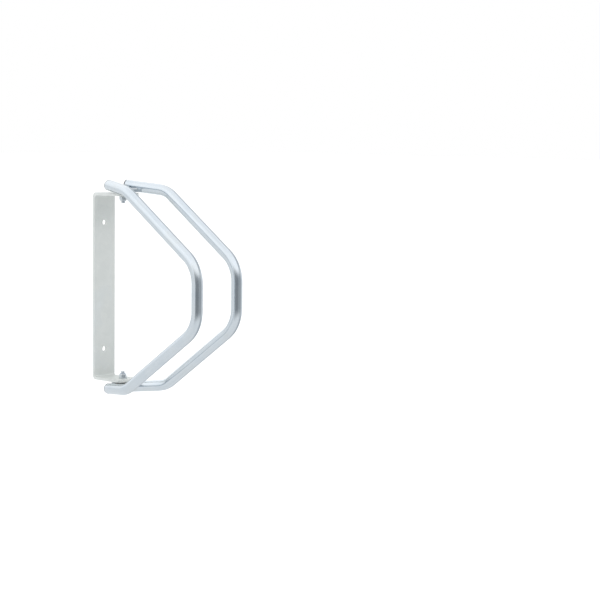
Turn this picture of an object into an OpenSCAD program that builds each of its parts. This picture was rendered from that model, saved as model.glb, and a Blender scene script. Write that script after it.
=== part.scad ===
// Swivelling bicycle wall rack.
// A C-shaped wall bracket carries two bent-tube hoops that hold the front wheel between them.
// Web plates welded between the hoop legs turn on a vertical pivot bolt at each end of the bracket.
// Frame: Y = 0 is the wall, the rack stands out towards -Y, +X is to the right for a person
// facing the wall, +Z is up, and the origin is the centre of the bracket's back face.

/* [Wall bracket] */
// Height of the bracket over its two flanges
bracket_h = 280; // [240:1:340]
// Width of the flat bar
bar_w = 40; // [38:1:50]
// Thickness of the flat bar
bar_t = 4; // [3:0.5:5]
// How far the flanges reach out from the wall
flange_reach = 60; // [56:1:62]
// Inside radius of the bends between back and flanges
bar_bend_r = 3; // [2:0.5:6]
// Corner radius at the free ends of the flanges
flange_corner_r = 4; // [2:1:12]
// Distance between the two wall holes
wall_hole_pitch = 190; // [140:5:200]
// Diameter of the wall holes
wall_hole_d = 8; // [7:0.5:11]

/* [Hoops] */
// Outside diameter of the hoop tube
tube_d = 16; // [14:0.5:18]
// Wall thickness of the hoop tube
tube_wall = 1.5; // [1:0.25:2]
// Distance between the hoops at the front, centre to centre
front_spacing = 77; // [70:1:100]
// Distance between the leg ends at the back, centre to centre
back_spacing = 34; // [33:0.5:38]
// Distance of the front uprights from the wall
upright_y = 249; // [225:1:280]
// Distance of the leg corners from the wall
corner_y = 99; // [92:0.5:105]
// Distance of the leg ends from the wall
leg_end_y = 35; // [33:0.5:37]
// Half of the height between the two leg ends, above the bracket's flange
leg_end_rise = 11; // [11:0.25:13]
// How much nearer to the middle the leg corners are than the leg ends
leg_drop = 6.5; // [3:0.5:7]
// Half of the height between the corners where upright and slope would meet
upright_half = 43; // [38:1:60]
// Centreline radius of the large front bends
front_bend_r = 47; // [32:1:50]
// Centreline radius of the small leg bends
leg_bend_r = 40; // [24:1:45]

/* [Pivots] */
// Distance of the pivot axis from the wall
pivot_y = 46; // [43:0.5:48]
// Bolt size
bolt_d = 6; // [6:M6, 8:M8]
// Bolt length under the head
bolt_l = 22; // [22:1:30]
// Radial running clearance of the web plates on the bolts
pivot_gap = 0.05; // [0.02:0.01:0.1]
// Thickness of the web plates
web_t = 4; // [3:0.5:5]
// Length of the web plates away from the wall
web_l = 25; // [22:1:28]
// Thickness of the nylon friction washers
friction_t = 1.5; // [1.5:0.25:2.5]
// Outside diameter of the nylon friction washers
friction_d = 24; // [20:1:26]

/* [End plugs] */
// Thickness of the plug rim outside the tube
plug_rim_t = 1.6; // [1:0.2:3]
// Height of the domed face above the rim
plug_dome_h = 1.2; // [0.6:0.2:2]
// Depth of the ribbed stem inside the tube
plug_stem_l = 12; // [8:1:16]

/* [Hidden] */

$fn = 64;
LEFT = -1;
RIGHT = 1;
EPS = 0.1;
// Overlap of straight runs and bends, and how much fuller the bends are
BEND_LAP = 0.6;
BEND_SWELL = 0.03;

tube_r = tube_d / 2;
bore_r = tube_r - tube_wall;
flange_z = bracket_h / 2;
bolt_r = bolt_d / 2;
// Radial play of the parts that the bolt only passes through
washer_gap = 0.2;
thread_gap = 0.03;

// Heights of the stack on the top flange, counted outwards from the bracket's middle
washer_t = 1.6;
web_z = flange_z + friction_t;
head_washer_z = web_z + web_t;
head_z = head_washer_z + washer_t;
nut_washer_z = flange_z - bar_t - washer_t;

// Standard hardware in proportion to the bolt
hex_across = bolt_d == 6 ? 10 : 13;
washer_r = bolt_d;
head_h = 0.66 * bolt_d;
nut_body_h = 0.775 * bolt_d;
nut_collar_h = 0.225 * bolt_d;
nut_collar_r = 0.74 * bolt_d;
insert_r = 0.63 * bolt_d;
insert_h = 0.175 * bolt_d;
bolt_tip = 0.1 * bolt_d;

weld_r = 2.6;
weld_from_y = pivot_y - 6;
weld_to_y = pivot_y + 13;

zinc = [0.80, 0.83, 0.85];
galvanised = [0.74, 0.76, 0.75];
nylon = [0.90, 0.89, 0.84];
plug_black = [0.10, 0.10, 0.11];

// ---------- vectors ----------

function unit(v) = v / norm(v);
function mix(p, q, t) = p + (q - p) * t;

// ---------- round tube bent along a line of points ----------

// Angle at corner q between the directions to a and b
function corner_angle(a, q, b) = acos(unit(a - q) * unit(b - q));
// Distance from corner q to the ends of its bend
function bend_start(a, q, b, bend_r) = bend_r / tan(corner_angle(a, q, b) / 2);
// Bend radius at point i, none at the two ends of the line
function trim(points, radii, i) =
    (i == 0 || i == len(points) - 1) ? 0
    : bend_start(points[i - 1], points[i], points[i + 1], radii[i]);

// Turns the children's +Z to point along direction d and moves them to p
module along(p, d) {
    translate(p)
        rotate([0, acos(unit(d)[2]), atan2(d[1], d[0])])
            children();
}

module straight_bar(p, q, r) {
    along(p, q - p)
        cylinder(r = r, h = norm(q - p));
}

module bend_bar(a, q, b, bend_r, r) {
    angle = corner_angle(a, q, b);
    centre = q + unit(unit(a - q) + unit(b - q)) * bend_r / sin(angle / 2);
    u = unit(q + unit(a - q) * bend_start(a, q, b, bend_r) - centre);
    w = unit(cross(q - a, b - q));
    v = cross(w, u);
    multmatrix([
        [u[0], v[0], w[0], centre[0]],
        [u[1], v[1], w[1], centre[1]],
        [u[2], v[2], w[2], centre[2]],
        [0, 0, 0, 1]
    ])
        rotate_extrude(angle = 180 - angle, $fn = 128)
            translate([bend_r, 0])
                circle(r = r, $fn = 64);
}

// Round bar along the points: straight runs that reach a little way into slightly fuller bends,
// so that each run ends inside the next one and no two surfaces coincide
module bent_bar(points, radii, r) {
    last = len(points) - 1;
    for (i = [0 : last - 1]) {
        run = unit(points[i + 1] - points[i]);
        from = (i == 0) ? 0 : trim(points, radii, i) - BEND_LAP;
        to = (i == last - 1) ? 0 : trim(points, radii, i + 1) - BEND_LAP;
        straight_bar(points[i] + run * from, points[i + 1] - run * to, r);
    }
    for (i = [1 : last - 1])
        bend_bar(points[i - 1], points[i], points[i + 1], radii[i], r + BEND_SWELL);
}

module bent_tube(points, radii, outer_r, inner_r) {
    last = len(points) - 1;
    out_start = unit(points[0] - points[1]) * EPS;
    out_end = unit(points[last] - points[last - 1]) * EPS;
    bore_points = [
        for (i = [0 : last])
            points[i] + (i == 0 ? out_start : i == last ? out_end : [0, 0, 0])
    ];
    difference() {
        bent_bar(points, radii, outer_r);
        bent_bar(bore_points, radii, inner_r);
    }
}

// ---------- hoop geometry ----------

// End and corner of the leg on one side, top or bottom
function leg_end(side, level) =
    [side * back_spacing / 2, -leg_end_y, level * (flange_z + leg_end_rise)];
function leg_corner(side, level) =
    [side * front_spacing / 2, -corner_y, level * (flange_z + leg_end_rise - leg_drop)];
function upright_corner(side, level) =
    [side * front_spacing / 2, -upright_y, level * upright_half];

function hoop_points(side) = [
    leg_end(side, 1), leg_corner(side, 1), upright_corner(side, 1),
    upright_corner(side, -1), leg_corner(side, -1), leg_end(side, -1)
];
hoop_radii = [0, leg_bend_r, front_bend_r, front_bend_r, leg_bend_r, 0];

// Point on a top leg's centreline at distance y from the wall
function leg_point(side, y) =
    mix(leg_end(side, 1), leg_corner(side, 1), (y - leg_end_y) / (corner_y - leg_end_y));

// Solid bar that fills one straight top leg
module leg_bar(side) {
    straight_bar(leg_end(side, 1), leg_corner(side, 1), tube_r);
}

module hoop(side) {
    bent_tube(hoop_points(side), hoop_radii, tube_r, bore_r);
}

// ---------- wall bracket ----------

module rounded_square(size, corner_r) {
    translate([corner_r, 0])
        square([size[0] - 2 * corner_r, size[1]]);
    translate([0, corner_r])
        square([size[0], size[1] - 2 * corner_r]);
    for (x = [corner_r, size[0] - corner_r], y = [corner_r, size[1] - corner_r])
        translate([x, y])
            circle(r = corner_r);
}

// Side view of the bent bar: X is the distance from the wall, Y is the height
module bracket_profile() {
    overrun = bar_bend_r + bar_t + flange_corner_r;
    intersection() {
        difference() {
            translate([0, -flange_z])
                rounded_square([flange_reach + overrun, bracket_h], bar_bend_r + bar_t);
            translate([bar_t, bar_t - flange_z])
                rounded_square([flange_reach + overrun, bracket_h - 2 * bar_t], bar_bend_r);
        }
        translate([0, -flange_z])
            square([flange_reach, bracket_h]);
    }
}

module flange_corner_cut(side) {
    inset = bar_w / 2 - flange_corner_r;
    difference() {
        translate([side > 0 ? inset : -bar_w / 2 - EPS, -flange_reach - EPS, -flange_z - EPS])
            cube([flange_corner_r + EPS, flange_corner_r + EPS, bracket_h + 2 * EPS]);
        translate([side * inset, flange_corner_r - flange_reach, -flange_z - 2 * EPS])
            cylinder(r = flange_corner_r, h = bracket_h + 4 * EPS);
    }
}

module wall_bracket() {
    color(galvanised)
        difference() {
            translate([bar_w / 2, 0, 0])
                rotate([90, 0, -90])
                    linear_extrude(height = bar_w)
                        bracket_profile();
            for (side = [LEFT, RIGHT])
                flange_corner_cut(side);
            for (z = [-wall_hole_pitch / 2, wall_hole_pitch / 2])
                translate([0, EPS, z])
                    rotate([90, 0, 0])
                        cylinder(d = wall_hole_d, h = bar_t + 2 * EPS);
            translate([0, -pivot_y, -flange_z - EPS])
                cylinder(r = bolt_r + washer_gap, h = bracket_h + 2 * EPS);
        }
}

// ---------- hoops and the webs between their legs ----------

module left_hoop() {
    color(zinc) hoop(LEFT);
}

module right_hoop() {
    color(zinc) hoop(RIGHT);
}

// Flat web plate of the top end, coped where the two legs pass through its sides
module web_plate() {
    front_y = pivot_y - 8 + web_l;
    back_y = pivot_y - 8;
    side_cover = 3;
    color(zinc)
        difference() {
            translate([0, 0, web_z])
                linear_extrude(height = web_t)
                    polygon([
                        [side_cover - leg_point(RIGHT, back_y)[0], -back_y],
                        [leg_point(RIGHT, back_y)[0] - side_cover, -back_y],
                        [leg_point(RIGHT, front_y)[0] - side_cover, -front_y],
                        [side_cover - leg_point(RIGHT, front_y)[0], -front_y]
                    ]);
            for (side = [LEFT, RIGHT])
                leg_bar(side);
            translate([0, -pivot_y, web_z - EPS])
                cylinder(r = bolt_r + pivot_gap, h = web_t + 2 * EPS);
        }
}

// Point of the seam between the top face of the web and a leg, at distance y from the wall
function seam_point(side, y) =
    let (
        c = leg_point(side, y),
        rise = c[2] - head_washer_z,
        flare = atan((front_spacing - back_spacing) / 2 / (corner_y - leg_end_y))
    )
    [c[0] - side * sqrt(tube_r * tube_r - rise * rise) / cos(flare), c[1], head_washer_z];

// Fillet weld along both seams of the top web
module weld_beads() {
    color(zinc)
        for (side = [LEFT, RIGHT]) {
            from = seam_point(side, weld_from_y);
            to = seam_point(side, weld_to_y);
            difference() {
                straight_bar(from, to, weld_r);
                leg_bar(side);
                translate([-front_spacing / 2, -pivot_y - front_spacing, head_washer_z - 2 * weld_r])
                    cube([front_spacing, 2 * front_spacing, 2 * weld_r]);
            }
        }
}

module top_web_plate() {
    web_plate();
}

module bottom_web_plate() {
    mirror([0, 0, 1]) web_plate();
}

module top_weld_beads() {
    weld_beads();
}

module bottom_weld_beads() {
    mirror([0, 0, 1]) weld_beads();
}

// ---------- pivot hardware ----------

module at_pivot(z) {
    translate([0, -pivot_y, z]) children();
}

module flat_ring(outer_r, inner_r, h) {
    difference() {
        cylinder(r = outer_r, h = h);
        translate([0, 0, -EPS])
            cylinder(r = inner_r, h = h + 2 * EPS);
    }
}

// Hexagon with the corners of its outer end turned down to a cone
module chamfered_hex(h) {
    corner_r = hex_across / 2 / cos(30);
    flat_r = hex_across / 2;
    intersection() {
        cylinder(r = corner_r, h = h, $fn = 6);
        union() {
            cylinder(r = corner_r, h = h - (corner_r - flat_r));
            translate([0, 0, h - (corner_r - flat_r)])
                cylinder(r1 = corner_r, r2 = flat_r - 0.2, h = corner_r - flat_r);
        }
    }
}

module pivot_bolt() {
    color(zinc)
        at_pivot(head_z) {
            chamfered_hex(head_h);
            translate([0, 0, bolt_tip - bolt_l])
                cylinder(r = bolt_r, h = bolt_l - bolt_tip);
            translate([0, 0, -bolt_l])
                cylinder(r1 = bolt_r - bolt_tip, r2 = bolt_r, h = bolt_tip);
        }
}

module head_washer() {
    color(zinc) at_pivot(head_washer_z) flat_ring(washer_r, bolt_r + washer_gap, washer_t);
}

module friction_washer() {
    color(nylon) at_pivot(flange_z) flat_ring(friction_d / 2, bolt_r + washer_gap, friction_t);
}

module nut_washer() {
    color(zinc) at_pivot(nut_washer_z) flat_ring(washer_r, bolt_r + washer_gap, washer_t);
}

// Steel body of the lock nut: a hexagon against the washer, then a round collar for the insert
module lock_nut() {
    color(zinc)
        at_pivot(nut_washer_z)
            mirror([0, 0, 1])
                difference() {
                    union() {
                        chamfered_hex(nut_body_h);
                        translate([0, 0, nut_body_h - EPS])
                            cylinder(r = nut_collar_r, h = nut_collar_h + EPS);
                    }
                    translate([0, 0, -EPS])
                        cylinder(r = bolt_r + thread_gap, h = nut_body_h + nut_collar_h + 2 * EPS);
                    translate([0, 0, nut_body_h + nut_collar_h - insert_h])
                        cylinder(r = insert_r, h = insert_h + EPS);
                }
}

module nut_insert() {
    color(nylon)
        at_pivot(nut_washer_z - nut_body_h - nut_collar_h)
            flat_ring(insert_r, bolt_r + thread_gap, insert_h);
}

module top_friction_washer() {
    friction_washer();
}

module bottom_friction_washer() {
    mirror([0, 0, 1]) friction_washer();
}

module top_pivot_bolt() {
    pivot_bolt();
}

module bottom_pivot_bolt() {
    mirror([0, 0, 1]) pivot_bolt();
}

module top_head_washer() {
    head_washer();
}

module bottom_head_washer() {
    mirror([0, 0, 1]) head_washer();
}

module top_nut_washer() {
    nut_washer();
}

module bottom_nut_washer() {
    mirror([0, 0, 1]) nut_washer();
}

module top_lock_nut() {
    lock_nut();
}

module bottom_lock_nut() {
    mirror([0, 0, 1]) lock_nut();
}

module top_nut_insert() {
    nut_insert();
}

module bottom_nut_insert() {
    mirror([0, 0, 1]) nut_insert();
}

// ---------- end plugs ----------

// Domed push-in plug: rim against the tube's end, ribbed stem in its bore
module end_plug(side, level) {
    dome_r = (tube_r * tube_r + plug_dome_h * plug_dome_h) / (2 * plug_dome_h);
    stem_r = bore_r - 0.4;
    rib_r = bore_r - 0.02;
    rib_pitch = 3.5;
    color(plug_black)
        along(leg_end(side, level), leg_end(side, level) - leg_corner(side, level)) {
            cylinder(r = tube_r, h = plug_rim_t);
            intersection() {
                translate([0, 0, plug_rim_t])
                    cylinder(r = tube_r, h = plug_dome_h + EPS);
                translate([0, 0, plug_rim_t + plug_dome_h - dome_r])
                    sphere(r = dome_r, $fn = 256);
            }
            translate([0, 0, -plug_stem_l])
                cylinder(r = stem_r, h = plug_stem_l);
            for (i = [0 : 2])
                translate([0, 0, -2 - i * rib_pitch])
                    cylinder(r = rib_r, h = 1);
        }
}

module top_left_end_plug() {
    end_plug(LEFT, 1);
}

module top_right_end_plug() {
    end_plug(RIGHT, 1);
}

module bottom_left_end_plug() {
    end_plug(LEFT, -1);
}

module bottom_right_end_plug() {
    end_plug(RIGHT, -1);
}

// ---------- assembly ----------

wall_bracket();
left_hoop();
right_hoop();
top_web_plate();
bottom_web_plate();
top_weld_beads();
bottom_weld_beads();
top_friction_washer();
bottom_friction_washer();
top_pivot_bolt();
bottom_pivot_bolt();
top_head_washer();
bottom_head_washer();
top_nut_washer();
bottom_nut_washer();
top_lock_nut();
bottom_lock_nut();
top_nut_insert();
bottom_nut_insert();
top_left_end_plug();
top_right_end_plug();
bottom_left_end_plug();
bottom_right_end_plug();
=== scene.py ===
"""Swivelling bicycle wall rack: the looks of each piece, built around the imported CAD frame."""

import math
from functools import partial

import bmesh
import bpy
from mathutils import Euler, Matrix, Vector
from mathutils.noise import noise


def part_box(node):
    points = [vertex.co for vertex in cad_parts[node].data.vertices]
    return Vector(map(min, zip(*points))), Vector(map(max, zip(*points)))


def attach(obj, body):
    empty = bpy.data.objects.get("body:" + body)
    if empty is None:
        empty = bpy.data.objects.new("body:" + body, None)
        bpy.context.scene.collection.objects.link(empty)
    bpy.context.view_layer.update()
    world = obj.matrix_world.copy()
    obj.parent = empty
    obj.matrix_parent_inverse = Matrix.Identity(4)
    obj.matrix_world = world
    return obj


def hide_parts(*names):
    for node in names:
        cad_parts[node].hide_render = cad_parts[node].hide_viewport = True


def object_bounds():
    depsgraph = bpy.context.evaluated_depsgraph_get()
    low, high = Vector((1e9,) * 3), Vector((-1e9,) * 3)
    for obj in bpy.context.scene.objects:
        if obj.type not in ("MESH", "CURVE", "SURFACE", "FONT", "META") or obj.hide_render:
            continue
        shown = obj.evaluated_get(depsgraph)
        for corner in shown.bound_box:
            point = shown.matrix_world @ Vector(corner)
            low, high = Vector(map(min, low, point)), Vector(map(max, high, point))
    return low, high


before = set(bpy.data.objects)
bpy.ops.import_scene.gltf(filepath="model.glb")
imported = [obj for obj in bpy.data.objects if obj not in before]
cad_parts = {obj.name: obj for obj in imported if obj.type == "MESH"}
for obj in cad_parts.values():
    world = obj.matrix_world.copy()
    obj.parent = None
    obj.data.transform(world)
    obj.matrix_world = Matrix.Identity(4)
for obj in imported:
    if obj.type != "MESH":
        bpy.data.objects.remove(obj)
cad_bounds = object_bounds()

MM = 0.001
LEFT, RIGHT = -1, 1
TOP, BOTTOM = 1, -1
BRACKET, HOLDER = "bracket", "wheel_holder"

# ---------- sizes in metres ----------

# Hoops; ends and corners of a centreline have x from the middle plane, y from the wall, z from mid-height
TUBE_R = 8 * MM
BORE_R = 6.5 * MM
LEG_END = Vector((17, -35, 151)) * MM
LEG_CORNER = Vector((38.5, -99, 144.5)) * MM
UPRIGHT_CORNER = Vector((38.5, -249, 43)) * MM
LEG_BEND_R = 40 * MM
FRONT_BEND_R = 47 * MM

# Hardware of the two M6 pivots
PIVOT_Y = -46 * MM
BOLT_R = 3 * MM
HEAD_H = 3.96 * MM
NUT_BODY_H = 4.65 * MM
NUT_COLLAR_R = 4.44 * MM
INSERT_R = 3.78 * MM
INSERT_H = 1.05 * MM
HEX_ACROSS = 10 * MM
HEX_CORNER_R = HEX_ACROSS / 2 / math.cos(math.radians(30))
THREAD_PITCH = 1 * MM
THREAD_DEPTH = 0.5 * MM

# Weld beads; WELD_LAG is how far a pool trails at the toes, WELD_POOL_SHAPE how steeply it ends
WELD_R = 2.5 * MM
WELD_FROM_Y = -40 * MM
WELD_TO_Y = -59 * MM
WELD_RIPPLE = 1.7 * MM
WELD_LAG = 0.9 * MM
WELD_POOL_SHAPE = 2.2
WELD_SEGMENTS = 32

# End plugs
PLUG_RIM_H = 1.6 * MM
PLUG_DOME_H = 1.2 * MM
PLUG_STEM_L = 12 * MM


# ---------- camera ----------

def make_camera():
    data = bpy.data.cameras.new("camera")
    data.sensor_width = 36
    data.lens = 118
    data.clip_end = 100
    camera = bpy.data.objects.new("camera", data)
    camera.location = (-1.905, -2.258, 0.247)
    looking_down, turned_right, leaning = math.radians(5.17), math.radians(45.9), math.radians(0.6)
    level = Euler((math.radians(90) - looking_down, 0, -turned_right)).to_matrix()
    camera.rotation_euler = (level @ Matrix.Rotation(leaning, 3, "Z")).to_euler()
    bpy.context.scene.collection.objects.link(camera)
    bpy.context.scene.camera = camera


# ---------- shader nodes ----------

class Graph:
    """A material or world node tree with one short call for each kind of node."""

    def __init__(self, tree):
        self.tree = tree
        tree.nodes.clear()

    def add(self, kind, inputs=None, **settings):
        node = self.tree.nodes.new("ShaderNode" + kind)
        for key, value in settings.items():
            setattr(node, key, value)
        for key, value in (inputs or {}).items():
            self.put(node.inputs[key], value)
        return node

    def put(self, socket, value):
        if isinstance(value, bpy.types.NodeSocket):
            self.tree.links.new(value, socket)
        else:
            socket.default_value = value

    def object_coordinate(self):
        return self.add("TexCoord").outputs["Object"]

    def attribute(self, name, output="Fac"):
        return self.add("Attribute", attribute_name=name).outputs[output]

    def stretched(self, vector, scale):
        return self.add("Mapping", {"Vector": vector, "Scale": scale}).outputs["Vector"]

    def noise(self, vector, scale, detail=3.0, rough=0.5):
        inputs = {"Vector": vector, "Scale": scale, "Detail": detail, "Roughness": rough}
        return self.add("TexNoise", inputs).outputs["Fac"]

    def ramp(self, value, *stops):
        node = self.add("ValToRGB", {"Fac": value})
        stop_list = node.color_ramp.elements
        while len(stop_list) < len(stops):
            stop_list.new(0.5)
        for element, (place, colour) in zip(stop_list, stops):
            element.position = place
            element.color = colour if len(colour) == 4 else (*colour, 1)
        return node.outputs["Color"]

    def band(self, value, low, high, out_low=0.0, out_high=1.0):
        inputs = {
            "Value": value, "From Min": low, "From Max": high, "To Min": out_low, "To Max": out_high,
        }
        return self.add("MapRange", inputs).outputs["Result"]

    def mix(self, share, first, second):
        node = self.add("Mix", data_type="RGBA")
        self.put(node.inputs[0], share)
        self.put(node.inputs[6], first)
        self.put(node.inputs[7], second)
        return node.outputs[2]

    def math(self, operation, first, second=0.0):
        node = self.add("Math", operation=operation)
        self.put(node.inputs[0], first)
        self.put(node.inputs[1], second)
        return node.outputs[0]

    def bump(self, height, strength, distance, normal=None):
        node = self.add("Bump", {"Height": height, "Strength": strength, "Distance": distance})
        if normal is not None:
            self.put(node.inputs["Normal"], normal)
        return node.outputs["Normal"]


def new_material(name):
    material = bpy.data.materials.new(name)
    material.use_nodes = True
    return material, Graph(material.node_tree)


def surface(graph, **inputs):
    """Ends the graph in a Principled shader with these inputs; an underscore stands for a space."""
    shader = graph.add("BsdfPrincipled", {key.replace("_", " "): value for key, value in inputs.items()})
    graph.add("OutputMaterial", {"Surface": shader.outputs["BSDF"]})


def worn_edges(graph, radius):
    """How far a point is from an edge: near 0 on a flat, up to 1 on an outer edge."""
    soft = graph.add("Bevel", {"Radius": radius}, samples=4).outputs["Normal"]
    hard = graph.add("NewGeometry").outputs["Normal"]
    aligned = graph.add("VectorMath", operation="DOT_PRODUCT")
    graph.put(aligned.inputs[0], soft)
    graph.put(aligned.inputs[1], hard)
    return graph.band(aligned.outputs["Value"], 1.0, 0.85)


# ---------- materials ----------

def galvanised_steel():
    """Hot-dip zinc on flat bar: a dull skin with faint crystals, rolling marks and a few scuffs."""
    material, g = new_material("galvanised_steel")
    place = g.object_coordinate()
    wobble = g.noise(place, 90, 2)
    crystals = g.add("TexVoronoi", {"Vector": place, "Scale": 120, "Randomness": 1.0})
    crystal_tone = g.add("SeparateColor", {"Color": crystals.outputs["Color"]}).outputs[0]
    cloud = g.noise(place, 14, 4, 0.55)
    rolled = g.noise(g.stretched(place, (1.0, 1.0, 0.06)), 900, 3)
    blotch = g.noise(place, 55, 5, 0.65)
    base = g.ramp(
        cloud, (0.30, (0.66, 0.685, 0.665)), (0.52, (0.70, 0.72, 0.70)), (0.72, (0.68, 0.715, 0.715))
    )
    base = g.mix(g.band(crystal_tone, 0, 1, 0.0, 0.16), base, (0.60, 0.625, 0.62, 1))
    base = g.mix(g.band(blotch, 0.56, 0.74, 0.0, 0.30), base, (0.80, 0.81, 0.80, 1))
    base = g.mix(g.band(rolled, 0.60, 0.80, 0.0, 0.20), base, (0.55, 0.57, 0.57, 1))
    base = g.mix(g.band(worn_edges(g, 0.7 * MM), 0.1, 1.0, 0.0, 0.55), base, (0.86, 0.87, 0.87, 1))
    rough = g.band(g.math("ADD", crystal_tone, g.math("MULTIPLY", blotch, 0.8)), 0.2, 1.4, 0.42, 0.60)
    height = g.math("ADD", g.math("MULTIPLY", rolled, 0.5), g.math("MULTIPLY", wobble, 0.8))
    normal = g.bump(height, 0.22, 0.10 * MM)
    normal = g.bump(crystals.outputs["Distance"], 0.08, 0.10 * MM, normal)
    surface(g, Base_Color=base, Metallic=0.30, Roughness=rough, Normal=normal, IOR=1.5)
    return material


def plated_tube():
    """Bright zinc plating on drawn tube: lines along the tube, dulled and finely crazed in the bends."""
    material, g = new_material("plated_tube")
    place = g.attribute("straight", "Vector")
    bend = g.attribute("bend")
    drawn = g.noise(g.stretched(place, (1.0, 1.0, 0.012)), 1500, 4, 0.6)
    broad = g.noise(g.stretched(place, (1.0, 1.0, 0.05)), 160, 3)
    cloud = g.noise(place, 28, 4, 0.6)
    speck = g.noise(place, 900, 2, 0.6)
    crazed = g.noise(g.stretched(place, (0.25, 0.25, 1.0)), 1100, 3)
    base = g.ramp(
        cloud, (0.30, (0.66, 0.72, 0.775)), (0.50, (0.715, 0.765, 0.81)), (0.72, (0.70, 0.74, 0.765))
    )
    base = g.mix(g.band(broad, 0.50, 0.72, 0.0, 0.35), base, (0.60, 0.655, 0.70, 1))
    base = g.mix(g.band(drawn, 0.58, 0.76, 0.0, 0.30), base, (0.83, 0.86, 0.88, 1))
    base = g.mix(g.band(speck, 0.68, 0.80, 0.0, 0.45), base, (0.50, 0.53, 0.54, 1))
    rough = g.band(g.math("ADD", cloud, g.math("MULTIPLY", drawn, 0.6)), 0.45, 1.15, 0.12, 0.24)
    rough = g.math("ADD", rough, g.math("MULTIPLY", bend, 0.04))
    normal = g.bump(drawn, 0.10, 0.02 * MM)
    normal = g.bump(g.math("MULTIPLY", crazed, bend), 0.12, 0.03 * MM, normal)
    surface(g, Base_Color=base, Metallic=1.0, Roughness=rough, Normal=normal)
    return material


def plated_plate():
    """Bright zinc on cut plate, with the cutter's fine marks and lighter edges."""
    material, g = new_material("plated_plate")
    place = g.object_coordinate()
    cloud = g.noise(place, 60, 4, 0.6)
    brushed = g.noise(g.stretched(place, (0.05, 1.0, 1.0)), 1400, 3)
    base = g.ramp(cloud, (0.3, (0.62, 0.67, 0.71)), (0.7, (0.73, 0.765, 0.79)))
    base = g.mix(g.band(brushed, 0.55, 0.8, 0.0, 0.35), base, (0.52, 0.56, 0.58, 1))
    base = g.mix(g.band(worn_edges(g, 0.5 * MM), 0.1, 1.0, 0.0, 0.5), base, (0.86, 0.87, 0.88, 1))
    rough = g.band(cloud, 0.3, 0.7, 0.26, 0.42)
    surface(g, Base_Color=base, Metallic=1.0, Roughness=rough, Normal=g.bump(brushed, 0.18, 0.06 * MM))
    return material


def plated_weld():
    """Weld bead under the plating: coarser, with painted shade darkening the troughs of its ripples."""
    material, g = new_material("plated_weld")
    place = g.object_coordinate()
    cloud = g.noise(place, 300, 4, 0.65)
    grain = g.noise(place, 2500, 3)
    trough = g.attribute("trough")
    base = g.ramp(cloud, (0.3, (0.55, 0.59, 0.62)), (0.7, (0.70, 0.73, 0.75)))
    # Painted shade: the troughs between the ripples are mixed towards dark grey, where shade would fall
    base = g.mix(g.band(trough, 0.3, 1.0, 0.0, 0.6), base, (0.36, 0.37, 0.37, 1))
    rough = g.band(cloud, 0.3, 0.7, 0.32, 0.52)
    surface(g, Base_Color=base, Metallic=1.0, Roughness=rough, Normal=g.bump(grain, 0.25, 0.08 * MM))
    return material


def plated_fastener():
    """Bright zinc on turned and pressed hardware, with polished edges and a few grey specks."""
    material, g = new_material("plated_fastener")
    place = g.object_coordinate()
    cloud = g.noise(place, 220, 4, 0.6)
    turned = g.noise(g.stretched(place, (0.15, 0.15, 1.0)), 2600, 3)
    speck = g.noise(place, 1700, 2)
    base = g.ramp(
        cloud, (0.3, (0.60, 0.65, 0.69)), (0.55, (0.71, 0.75, 0.78)), (0.75, (0.74, 0.75, 0.73))
    )
    base = g.mix(g.band(speck, 0.62, 0.78, 0.0, 0.45), base, (0.42, 0.44, 0.45, 1))
    base = g.mix(g.band(worn_edges(g, 0.35 * MM), 0.1, 1.0, 0.0, 0.6), base, (0.88, 0.89, 0.90, 1))
    rough = g.band(cloud, 0.3, 0.7, 0.22, 0.38)
    surface(g, Base_Color=base, Metallic=1.0, Roughness=rough, Normal=g.bump(turned, 0.15, 0.05 * MM))
    return material


def moulded_nylon(name, dark, light, pit):
    """Nylon between a darker and a lighter tone, with faint flow clouds and small pits."""
    material, g = new_material(name)
    place = g.object_coordinate()
    cloud = g.noise(place, 160, 4, 0.6)
    pits = g.noise(place, 1800, 3)
    base = g.ramp(cloud, (0.3, dark), (0.7, light))
    base = g.mix(g.band(pits, 0.66, 0.8, 0.0, 0.4), base, (*pit, 1))
    rough = g.band(cloud, 0.3, 0.7, 0.38, 0.52)
    surface(
        g, Base_Color=base, Roughness=rough, Normal=g.bump(pits, 0.15, 0.08 * MM),
        Subsurface_Weight=0.15, Subsurface_Scale=1.0 * MM,
    )
    return material


def moulded_plug():
    """Black polyethylene with a fine moulded grain and some dust."""
    material, g = new_material("moulded_plug")
    place = g.object_coordinate()
    grain = g.noise(place, 3200, 2)
    dust = g.noise(place, 240, 5, 0.7)
    base = g.ramp(g.noise(place, 120, 3), (0.3, (0.020, 0.020, 0.022)), (0.7, (0.034, 0.034, 0.036)))
    base = g.mix(g.band(dust, 0.55, 0.78, 0.0, 0.30), base, (0.16, 0.155, 0.15, 1))
    rough = g.band(dust, 0.3, 0.75, 0.40, 0.62)
    normal = g.bump(grain, 0.30, 0.06 * MM)
    surface(g, Base_Color=base, Roughness=rough, Normal=normal, Specular_IOR_Level=0.2)
    return material


def pale_floor():
    """Matt studio board with a barely visible mottle."""
    material, g = new_material("pale_floor")
    cloud = g.noise(g.object_coordinate(), 3, 4)
    base = g.ramp(cloud, (0.3, (0.88, 0.88, 0.88)), (0.7, (0.90, 0.90, 0.90)))
    surface(g, Base_Color=base, Roughness=0.8, Emission_Color=(1, 1, 1, 1), Emission_Strength=0.25)
    return material


# ---------- meshes ----------

def new_piece(name, points, faces, material):
    mesh = bpy.data.meshes.new(name)
    mesh.from_pydata(points, [], faces)
    mesh.polygons.foreach_set("use_smooth", [True] * len(mesh.polygons))
    mesh.materials.append(material)
    mesh.update()
    piece = bpy.data.objects.new(name, mesh)
    bpy.context.scene.collection.objects.link(piece)
    return piece


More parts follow.
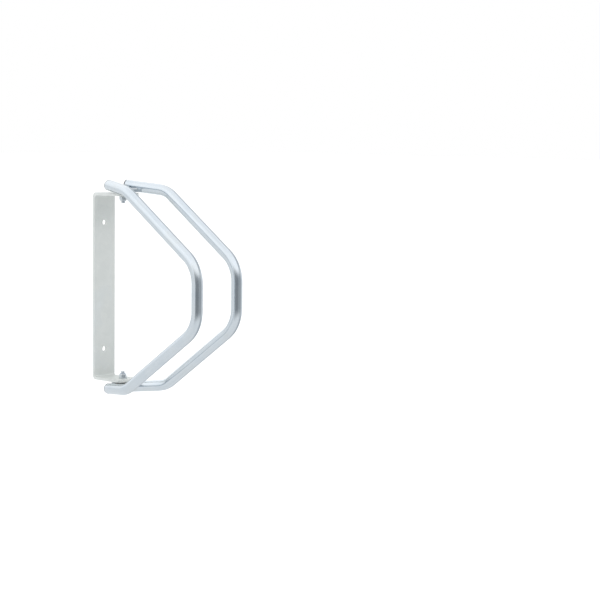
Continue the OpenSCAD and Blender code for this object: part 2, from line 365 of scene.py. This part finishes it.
def face_outwards(piece):
    """Turns the faces of a closed mesh outwards and keeps edges sharper than 40 degrees crisp."""
    made = bmesh.new()
    made.from_mesh(piece.data)
    bmesh.ops.recalc_face_normals(made, faces=made.faces)
    made.to_mesh(piece.data)
    made.free()
    piece.data.set_sharp_from_angle(angle=math.radians(40))


def add_attribute(piece, name, kind, values):
    field = {"FLOAT": "value", "FLOAT_VECTOR": "vector"}[kind]
    attribute = piece.data.attributes.new(name, kind, "POINT")
    attribute.data.foreach_set(field, values)


def settle(piece, node, body):
    """The piece stands for a CAD node and moves with its body."""
    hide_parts(node)
    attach(piece, body)


def reach_of(node):
    """Heights of a node's inner and outer face, counted from the rack's middle."""
    low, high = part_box(node)
    return sorted((abs(low.z), abs(high.z)))


def ring_faces(rows, count, closed_rows=False):
    """Quads between rows of points that each go once round; closed_rows joins the last to the first."""
    last = rows if closed_rows else rows - 1
    return [
        (
            r * count + k,
            r * count + (k + 1) % count,
            (r + 1) % rows * count + (k + 1) % count,
            (r + 1) % rows * count + k,
        )
        for r in range(last)
        for k in range(count)
    ]


def turned(name, profile, material, place, segments=96, radius_at=None):
    """Solid of revolution about Z, then moved by place.

    profile is a list of (radius, z, tag) from one end to the other. A radius of 0 at both ends
    closes it on the axis; otherwise the last point joins the first, which leaves a bore.
    radius_at(radius, z, tag, angle) may change a radius with the angle.
    """
    solid = profile[0][0] == 0
    rows = profile[1:-1] if solid else profile
    points = []
    for radius, z, tag in rows:
        for k in range(segments):
            angle = 2 * math.pi * k / segments
            r = radius_at(radius, z, tag, angle) if radius_at else radius
            points.append(place @ Vector((r * math.cos(angle), r * math.sin(angle), z)))
    faces = ring_faces(len(rows), segments, closed_rows=not solid)
    if solid:
        start, end = len(points), len(points) + 1
        points += [place @ Vector((0, 0, profile[0][1])), place @ Vector((0, 0, profile[-1][1]))]
        top_row = (len(rows) - 1) * segments
        faces += [(start, (k + 1) % segments, k) for k in range(segments)]
        faces += [(end, top_row + k, top_row + (k + 1) % segments) for k in range(segments)]
    piece = new_piece(name, points, faces, material)
    face_outwards(piece)
    return piece


def plain(*points):
    """Profile points, each given as radius and z, that go round as circles."""
    return [(radius, z, "") for radius, z in points]


def rounded_corner(radius, z, turn, round_r):
    """Points that round a profile's corner; turn is (radial, axial), 1 or -1, out of the material."""
    out, up = turn
    steps = 4
    angles = [math.pi / 2 * s / steps for s in range(steps + 1)]
    return plain(*(
        (radius - out * round_r * (1 - math.sin(t)), z - up * round_r * (1 - math.cos(t)))
        for t in angles
    ))


def bevelled_copy(name, node, material, width, segments=3):
    """A CAD node's shape with its flat faces made whole and every sharp edge rounded."""
    made = bmesh.new()
    made.from_mesh(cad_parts[node].data)
    bmesh.ops.remove_doubles(made, verts=made.verts, dist=0.002 * MM)
    bmesh.ops.dissolve_limit(
        made, angle_limit=math.radians(0.3), verts=made.verts, edges=made.edges,
        use_dissolve_boundaries=False,
    )
    sharp = [e for e in made.edges if e.is_manifold and e.calc_face_angle() > math.radians(35)]
    bmesh.ops.bevel(
        made, geom=sharp, offset=width, segments=segments, profile=0.5, affect="EDGES",
        clamp_overlap=True,
    )
    bmesh.ops.triangulate(made, faces=[f for f in made.faces if len(f.verts) > 4])
    mesh = bpy.data.meshes.new(name)
    made.to_mesh(mesh)
    made.free()
    for attribute in ("custom_normal", "sharp_face", "sharp_edge"):
        if attribute in mesh.attributes:
            mesh.attributes.remove(mesh.attributes[attribute])
    mesh.materials.clear()
    mesh.materials.append(material)
    mesh.polygons.foreach_set("use_smooth", [True] * len(mesh.polygons))
    piece = bpy.data.objects.new(name, mesh)
    bpy.context.scene.collection.objects.link(piece)
    weights = piece.modifiers.new("weighted_normals", "WEIGHTED_NORMAL")
    weights.weight = 100
    return piece


# ---------- hoops ----------

def mirrored(point, side, level):
    return Vector((side * point.x, point.y, level * point.z))


def filleted_line(points, radii, straight_step, turn_step):
    """Points along a line whose corners are rounded, each with the share of bend there, 0 or 1."""
    line = [(points[0], 0.0)]
    for i in range(1, len(points) - 1):
        corner = points[i]
        back = (points[i - 1] - corner).normalized()
        ahead = (points[i + 1] - corner).normalized()
        angle = back.angle(ahead)
        reach = radii[i] / math.tan(angle / 2)
        centre = corner + (back + ahead).normalized() * radii[i] / math.sin(angle / 2)
        start, end = corner + back * reach, corner + ahead * reach
        add_straight(line, start, straight_step)
        u = (start - centre).normalized()
        w = (corner - points[i - 1]).cross(points[i + 1] - corner).normalized()
        v = w.cross(u)
        turn = math.pi - angle
        steps = max(4, round(turn / turn_step))
        for s in range(steps + 1):
            t = turn * s / steps
            line.append((centre + (u * math.cos(t) + v * math.sin(t)) * radii[i], 1.0))
        line[-1] = (end, 1.0)
    add_straight(line, points[-1], straight_step)
    return line


def add_straight(line, end, step):
    """Adds points about step apart to a line, from its last point up to and with end."""
    start = line[-1][0]
    steps = max(2, round((end - start).length / step))
    line += [(start.lerp(end, s / steps), 0.0) for s in range(1, steps)]
    line.append((end, 0.0))


def smoothed(values, reach):
    """Each value averaged with its neighbours, so that bends fade into straights."""
    windows = [values[max(0, i - reach):i + reach + 1] for i in range(len(values))]
    return [sum(window) / len(window) for window in windows]


def without_repeats(line):
    """The line without the doubled points where straights and bends meet."""
    kept = [line[0]]
    kept += [b for a, b in zip(line, line[1:]) if (b[0] - a[0]).length > 0.01 * MM]
    return kept


def frames_along(centres):
    """Heading and sideways direction at each point of a line, carried along it without twist."""
    last = len(centres) - 1
    headings = [
        (centres[min(i + 1, last)] - centres[max(i - 1, 0)]).normalized() for i in range(last + 1)
    ]
    across = headings[0].cross(Vector((0, 0, 1))).normalized()
    frames = []
    for i, heading in enumerate(headings):
        if i:
            across = headings[i - 1].rotation_difference(heading) @ across
        across = (across - heading * across.dot(heading)).normalized()
        frames.append((heading, across))
    return frames


def way_into_bend(centres, i):
    """Direction from point i of a line to the inside of its bend, or a zero vector on a straight."""
    if i in (0, len(centres) - 1):
        return Vector()
    middle = (centres[i - 1] + centres[i + 1]) / 2 - centres[i]
    return middle.normalized() if middle.length > 1e-7 else Vector()


def tube_faces(rows, segments):
    """Faces of a tube whose outer points come first and its bore's points after them."""
    size = rows * segments
    outside = ring_faces(rows, segments)
    inside = [tuple(size + k for k in reversed(face)) for face in outside]
    ends = [
        (row + k, row + (k + 1) % segments, size + row + (k + 1) % segments, size + row + k)
        for row in (0, (rows - 1) * segments)
        for k in range(segments)
    ]
    return outside + inside + ends


def make_hoop(side, node, material):
    """Tube with a true bore, swept along the hoop's line; the bends are a little flattened."""
    segments, flattening = 64, 0.022
    route = [mirrored(p, side, TOP) for p in (LEG_END, LEG_CORNER, UPRIGHT_CORNER)]
    route += [mirrored(p, side, BOTTOM) for p in (UPRIGHT_CORNER, LEG_CORNER, LEG_END)]
    radii = (0, LEG_BEND_R, FRONT_BEND_R, FRONT_BEND_R, LEG_BEND_R, 0)
    line = without_repeats(filleted_line(route, radii, 6 * MM, math.radians(2.5)))
    centres = [p for p, _ in line]
    bends = smoothed([b for _, b in line], 3)
    # The finish runs along the tube as if it were straight, and starts elsewhere on each hoop
    along = side * 0.5
    outer, inner, straight, bend_values = [], [], [], []
    for i, (centre, (heading, across)) in enumerate(zip(centres, frames_along(centres))):
        if i:
            along += (centre - centres[i - 1]).length
        upward = heading.cross(across)
        inward = way_into_bend(centres, i)
        for k in range(segments):
            angle = 2 * math.pi * k / segments
            way = across * math.cos(angle) + upward * math.sin(angle)
            flat = 1 - flattening * bends[i] * way.dot(inward) ** 2
            outer.append(centre + way * TUBE_R * flat)
            inner.append(centre + way * BORE_R * flat)
            straight += (TUBE_R * math.cos(angle), TUBE_R * math.sin(angle), along)
            bend_values.append(bends[i])
    piece = new_piece(node + "_tube", outer + inner, tube_faces(len(centres), segments), material)
    face_outwards(piece)
    add_attribute(piece, "straight", "FLOAT_VECTOR", straight * 2)
    add_attribute(piece, "bend", "FLOAT", bend_values * 2)
    settle(piece, node, HOLDER)


# ---------- weld beads ----------

def leg_point(side, y):
    """Where a leg's centreline is at distance y from the wall, at the top."""
    share = (y - LEG_END.y) / (LEG_CORNER.y - LEG_END.y)
    point = LEG_END.lerp(LEG_CORNER, share)
    return Vector((side * point.x, point.y, point.z))


def seam_point(side, y, web_top):
    """Where the web's outer face meets a leg, at distance y from the wall."""
    c = leg_point(side, y)
    rise = c.z - web_top
    run = (LEG_CORNER.y - LEG_END.y) / (LEG_CORNER.x - LEG_END.x)
    reach = math.sqrt(TUBE_R ** 2 - rise ** 2) * math.sqrt(1 + 1 / run ** 2)
    return Vector((c.x - side * reach, c.y, web_top))


def add_bead(side, level, web_top, points, troughs):
    """Adds a bead's rings of points, and how deep in a trough each one is; returns the ring count."""
    start = seam_point(side, WELD_FROM_Y, web_top)
    end = seam_point(side, WELD_TO_Y, web_top)
    heading = (end - start).normalized()
    outward = Vector((side, 0, 0)).cross(heading).cross(heading).normalized()
    upward = heading.cross(outward)
    length = (end - start).length
    steps = 120
    for s in range(steps + 1):
        along = length * s / steps
        wander = noise(Vector((along * 300, side * 3.0, level * 5.0)))
        from_end = min(along, length - along)
        cap = math.sqrt(max(0.0, 1 - max(0.0, 1 - from_end / WELD_R) ** 2))
        for k in range(WELD_SEGMENTS):
            angle = 2 * math.pi * k / WELD_SEGMENTS
            way = outward * math.cos(angle) + upward * math.sin(angle)
            lag = WELD_LAG * math.sin(angle) ** 2
            phase = ((along + lag) / WELD_RIPPLE + 0.15 * wander) % 1.0
            ripple = 1 - phase ** WELD_POOL_SHAPE
            radius = WELD_R * (0.86 + 0.09 * ripple + 0.04 * wander) * max(cap, 0.02)
            point = start + heading * along + way * radius
            points.append(Vector((point.x, point.y, level * point.z)))
            troughs.append(1 - ripple)
    return steps + 1


def make_weld_pair(level, node, web_node, material):
    """The two fillet beads of one web plate, each a row of overlapping solidified pools."""
    web_top = reach_of(web_node)[1]
    points, faces, troughs = [], [], []
    for side in (LEFT, RIGHT):
        first = len(points)
        rings = add_bead(side, level, web_top, points, troughs)
        faces += [tuple(first + k for k in face) for face in ring_faces(rings, WELD_SEGMENTS)]
        for row in (0, (rings - 1) * WELD_SEGMENTS):
            faces.append(tuple(first + row + k for k in range(WELD_SEGMENTS)))
    piece = new_piece(node + "_ripples", points, faces, material)
    add_attribute(piece, "trough", "FLOAT", troughs)
    face_outwards(piece)
    settle(piece, node, HOLDER)


# ---------- pivot hardware ----------

def on_pivot(level):
    """Places a part that is built upwards from the rack's middle, mirrored for the bottom pivot."""
    return Matrix.Translation((0, PIVOT_Y, 0)) @ Matrix.Diagonal((1, 1, level, 1))


def half_width(node):
    low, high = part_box(node)
    return (high.x - low.x) / 2


def hexed(radius, z, tag, angle):
    """Limits a radius tagged "hex" to a hexagon with slightly rounded corners."""
    if tag != "hex":
        return radius
    sharpness = 60
    sides = sum(abs(math.cos(angle - k * math.pi / 3)) ** sharpness for k in range(3))
    flat = HEX_ACROSS / 2 / sides ** (1 / sharpness)
    return (flat ** -sharpness + radius ** -sharpness) ** (-1 / sharpness)


def hex_rows(z_from, z_to, chamfer_from, chamfer_to):
    """Rows of a hexagon between two heights, with its corners turned off over a length at each end.

    The turned cone goes from just inside the flats, at 0.866 of the corner radius, to just past the corners.
    """
    steps, start, growth = 8, 0.86, 0.16
    shares = [s / steps for s in range(steps + 1)]
    radii = [HEX_CORNER_R * (start + growth * share) for share in shares]
    lower = [(r, z_from + chamfer_from * share, "hex") for r, share in zip(radii, shares)]
    upper = [(r, z_to - chamfer_to * share, "hex") for r, share in zip(radii, shares)]
    return lower + upper[::-1]


def threaded(tip, radius, z, tag, angle):
    """Cuts a thread into the rows tagged "thread", fading in from the bolt's tip."""
    if tag != "thread":
        return hexed(radius, z, tag, angle)
    turn = (z / THREAD_PITCH - angle / (2 * math.pi)) % 1.0
    # Above 1, the slope leaves a flat root a fifth of a pitch wide
    slope, fade_l = 1.25, 0.6 * THREAD_PITCH
    depth = THREAD_DEPTH * min(1.0, slope * abs(2 * turn - 1))
    return radius - depth * min(1.0, (z - tip) / fade_l)


def make_bolt(level, node, material):
    """Threaded shank, thin bearing face and hexagon head with a dished top."""
    tip, top = reach_of(node)
    under_head = top - HEAD_H
    thread_from, thread_l, steps = tip + 0.15 * MM, 5 * MM, 80
    rows = plain((0, tip), (BOLT_R - 0.8 * MM, tip), (BOLT_R - 0.6 * MM, tip + 0.1 * MM))
    for s in range(steps + 1):
        z = thread_from + thread_l * s / steps
        rows.append((min(BOLT_R, BOLT_R - 0.5 * MM + (z - tip) * 0.8), z, "thread"))
    rows += plain((BOLT_R, tip + thread_l + 0.5 * MM), (BOLT_R, under_head))
    face_r, face_top = HEX_ACROSS / 2 * 0.92, under_head + 0.25 * MM
    rows += plain((face_r, under_head), (face_r, face_top))
    rows += hex_rows(face_top, top - 0.05 * MM, 0.3 * MM, 0.8 * MM)
    dish_r, dish_z = HEX_ACROSS * 0.36, top - 0.25 * MM
    rows += plain((dish_r + 0.4 * MM, top), (dish_r, top - 0.05 * MM), (dish_r - 0.4 * MM, dish_z))
    rows += plain((0.5 * MM, dish_z), (0, dish_z))
    piece = turned(node + "_threaded", rows, material, on_pivot(level), 120, partial(threaded, tip))
    settle(piece, node, BRACKET)


def make_lock_nut(level, node, material):
    """Hexagon body with a rolled collar that holds the nylon ring."""
    far, near = reach_of(node)
    bore = BOLT_R + 0.03 * MM
    body_end = near - NUT_BODY_H
    rows = plain((INSERT_R, far + INSERT_H), (INSERT_R, far + 0.2 * MM), (INSERT_R + 0.1 * MM, far))
    rows += rounded_corner(NUT_COLLAR_R, far, (1, -1), 0.3 * MM)
    rows += plain((NUT_COLLAR_R, body_end - 0.15 * MM), (NUT_COLLAR_R + 0.1 * MM, body_end))
    rows += hex_rows(body_end, near, 0.6 * MM, 0.3 * MM)
    rows += plain((bore + 0.4 * MM, near), (bore, near - 0.4 * MM), (bore, far + INSERT_H))
    piece = turned(node + "_pressed", rows, material, on_pivot(level), 120, hexed)
    settle(piece, node, BRACKET)


def make_ring(level, node, bore, round_r, material, suffix):
    """Flat ring between the heights of its CAD node: outer edges rounded, bore edges just broken."""
    near, far = reach_of(node)
    outer = half_width(node)
    break_r = min(round_r, 0.15 * MM)
    rows = rounded_corner(outer, near, (1, -1), round_r)
    rows += reversed(rounded_corner(outer, far, (1, 1), round_r))
    rows += rounded_corner(bore, far, (-1, 1), break_r)
    rows += reversed(rounded_corner(bore, near, (-1, -1), break_r))
    piece = turned(node + suffix, rows, material, on_pivot(level))
    settle(piece, node, BRACKET)


# ---------- end plugs ----------

def make_end_plug(side, level, node, material):
    """Domed plug with a rolled rim, a moulding gate in its middle and ribs on its stem."""
    end = mirrored(LEG_END, side, level)
    outward = (end - mirrored(LEG_CORNER, side, level)).normalized()
    place = Matrix.Translation(end) @ outward.to_track_quat("Z", "Y").to_matrix().to_4x4()
    stem_r, rib_r = BORE_R - 0.4 * MM, BORE_R - 0.05 * MM
    rows = plain((0, -PLUG_STEM_L), (stem_r - 0.6 * MM, -PLUG_STEM_L), (stem_r, 0.6 * MM - PLUG_STEM_L))
    for rib in (-9.0 * MM, -5.5 * MM, -2.0 * MM):
        rows += plain((stem_r, rib), (rib_r, rib + 0.25 * MM), (rib_r, rib + 0.8 * MM))
        rows += plain((stem_r, rib + 1 * MM))
    under_rim = 0.02 * MM
    rows += plain((stem_r, under_rim))
    rows += rounded_corner(TUBE_R, under_rim, (1, -1), 0.25 * MM)
    rows += plain((TUBE_R, PLUG_RIM_H - 0.35 * MM))
    dome_r, gate_r, steps = TUBE_R - 0.15 * MM, 1.3 * MM, 12
    for s in range(steps + 1):
        r = dome_r + (gate_r - dome_r) * s / steps
        rows += plain((r, PLUG_RIM_H + PLUG_DOME_H * (1 - (r / TUBE_R) ** 2)))
    gate_z = rows[-1][1]
    rows += plain((1.1 * MM, gate_z - 0.25 * MM), (0.5 * MM, gate_z - 0.28 * MM))
    rows += plain((0.4 * MM, gate_z - 0.1 * MM), (0, gate_z - 0.1 * MM))
    piece = turned(node + "_moulded", rows, material, place)
    settle(piece, node, HOLDER)


# ---------- floor and light ----------

def make_floor():
    material = pale_floor()
    size, segments = 60.0, 8
    low = cad_bounds[0].z - 0.30
    step = size / segments
    points = [
        (step * (i - segments / 2), step * (j - segments / 2), low)
        for j in range(segments + 1)
        for i in range(segments + 1)
    ]
    width = segments + 1
    faces = [
        (j * width + i, j * width + i + 1, (j + 1) * width + i + 1, (j + 1) * width + i)
        for j in range(segments)
        for i in range(segments)
    ]
    floor = new_piece("floor", points, faces, material)
    floor.visible_glossy = False


def add_flag(g, room, direction, at_eye_height, azimuth, full, faded, tone):
    """The room with a dark flag around an azimuth, full up to one angle from it and gone at another."""
    a = math.radians(azimuth)
    facing = g.add("VectorMath", operation="DOT_PRODUCT")
    g.put(facing.inputs[0], direction)
    g.put(facing.inputs[1], (math.sin(a), -math.cos(a), 0.0))
    near = g.band(facing.outputs["Value"], math.cos(math.radians(faded)), math.cos(math.radians(full)))
    return g.mix(g.math("MULTIPLY", near, at_eye_height), room, tone)


def make_world():
    """White studio, dimmer high and low on the right, with two dark flags before the rack."""
    world = bpy.data.worlds.new("studio")
    bpy.context.scene.world = world
    world.use_nodes = True
    g = Graph(world.node_tree)
    direction = g.add("TexCoord").outputs["Generated"]
    split = g.add("SeparateXYZ", {"Vector": direction})
    height = split.outputs["Z"]
    off_level = g.math("ABSOLUTE", height)
    room = g.ramp(
        g.band(height, -1.0, 1.0),
        (0.00, (0.84, 0.86, 0.87)), (0.40, (0.88, 0.90, 0.91)), (0.50, (0.80, 0.83, 0.85)),
        (0.64, (1.08, 1.10, 1.11)), (0.86, (1.20, 1.21, 1.22)), (1.00, (1.04, 1.06, 1.08)),
    )
    right = g.math("MULTIPLY", g.band(split.outputs["X"], 0.50, 0.80), g.band(off_level, 0.15, 0.40))
    room = g.mix(right, room, (0.42, 0.45, 0.48, 1))
    at_eye_height = g.band(off_level, math.sin(math.radians(30)), math.sin(math.radians(12)))
    room = add_flag(g, room, direction, at_eye_height, 8, 30, 62, (0.38, 0.405, 0.425, 1))
    room = add_flag(g, room, direction, at_eye_height, -47, 30, 40, (0.25, 0.27, 0.285, 1))
    seen = g.add("Background", {"Color": (1, 1, 1, 1), "Strength": 1.0})
    lit = g.add("Background", {"Color": room, "Strength": 1.0})
    is_camera = g.add("LightPath").outputs["Is Camera Ray"]
    shader = g.add("MixShader", {0: is_camera, 1: lit.outputs[0], 2: seen.outputs[0]})
    g.add("OutputWorld", {"Surface": shader.outputs[0]})


def make_softbox(name, azimuth, elevation, distance, size, power, colour):
    """Area light, unseen in the metal, that looks at the rack's middle from azimuth and elevation."""
    a, e = math.radians(azimuth), math.radians(elevation)
    away = Vector((math.sin(a) * math.cos(e), -math.cos(a) * math.cos(e), math.sin(e)))
    data = bpy.data.lights.new(name, "AREA")
    data.shape = "RECTANGLE"
    data.size, data.size_y = size
    data.energy = power
    data.color = colour
    light = bpy.data.objects.new(name, data)
    light.location = (cad_bounds[0] + cad_bounds[1]) / 2 + away * distance
    light.rotation_euler = (-away).to_track_quat("-Z", "Y").to_euler()
    light.visible_glossy = False
    bpy.context.scene.collection.objects.link(light)


def make_lights():
    white, cool = (1.0, 0.99, 0.97), (0.93, 0.97, 1.0)
    make_softbox("key", -100, 35, 2.2, (1.4, 1.4), 2, white)
    make_softbox("front", 5, 40, 2.4, (1.8, 1.4), 11, white)
    make_softbox("back", 150, 50, 2.2, (1.4, 1.0), 5, cool)


# ---------- assembly ----------

def make_rack():
    steel, tube, plate, weld = galvanised_steel(), plated_tube(), plated_plate(), plated_weld()
    fastener, plug = plated_fastener(), moulded_plug()
    nylon = moulded_nylon("natural_nylon", (0.70, 0.685, 0.62), (0.80, 0.79, 0.74), (0.52, 0.50, 0.44))
    blue_nylon = moulded_nylon("blue_nylon", (0.12, 0.21, 0.42), (0.19, 0.31, 0.56), (0.08, 0.14, 0.30))
    loose, tight = BOLT_R + 0.2 * MM, BOLT_R + 0.03 * MM
    bracket = bevelled_copy("wall_bracket_bar", "wall_bracket", steel, 0.35 * MM)
    settle(bracket, "wall_bracket", BRACKET)
    for side, word in ((LEFT, "left"), (RIGHT, "right")):
        make_hoop(side, word + "_hoop", tube)
    for level, word in ((TOP, "top"), (BOTTOM, "bottom")):
        web = bevelled_copy(word + "_web_cut", word + "_web_plate", plate, 0.25 * MM, 2)
        settle(web, word + "_web_plate", HOLDER)
        make_weld_pair(level, word + "_weld_beads", word + "_web_plate", weld)
        make_bolt(level, word + "_pivot_bolt", fastener)
        make_lock_nut(level, word + "_lock_nut", fastener)
        for part in ("_head_washer", "_nut_washer"):
            make_ring(level, word + part, loose, 0.3 * MM, fastener, "_punched")
        make_ring(level, word + "_friction_washer", loose, 0.25 * MM, nylon, "_moulded")
        make_ring(level, word + "_nut_insert", tight, 0.2 * MM, blue_nylon, "_moulded")
        make_end_plug(LEFT, level, word + "_left_end_plug", plug)
        make_end_plug(RIGHT, level, word + "_right_end_plug", plug)


make_camera()
make_floor()
make_world()
make_lights()
make_rack()
bpy.context.scene.view_settings.view_transform = "Standard"
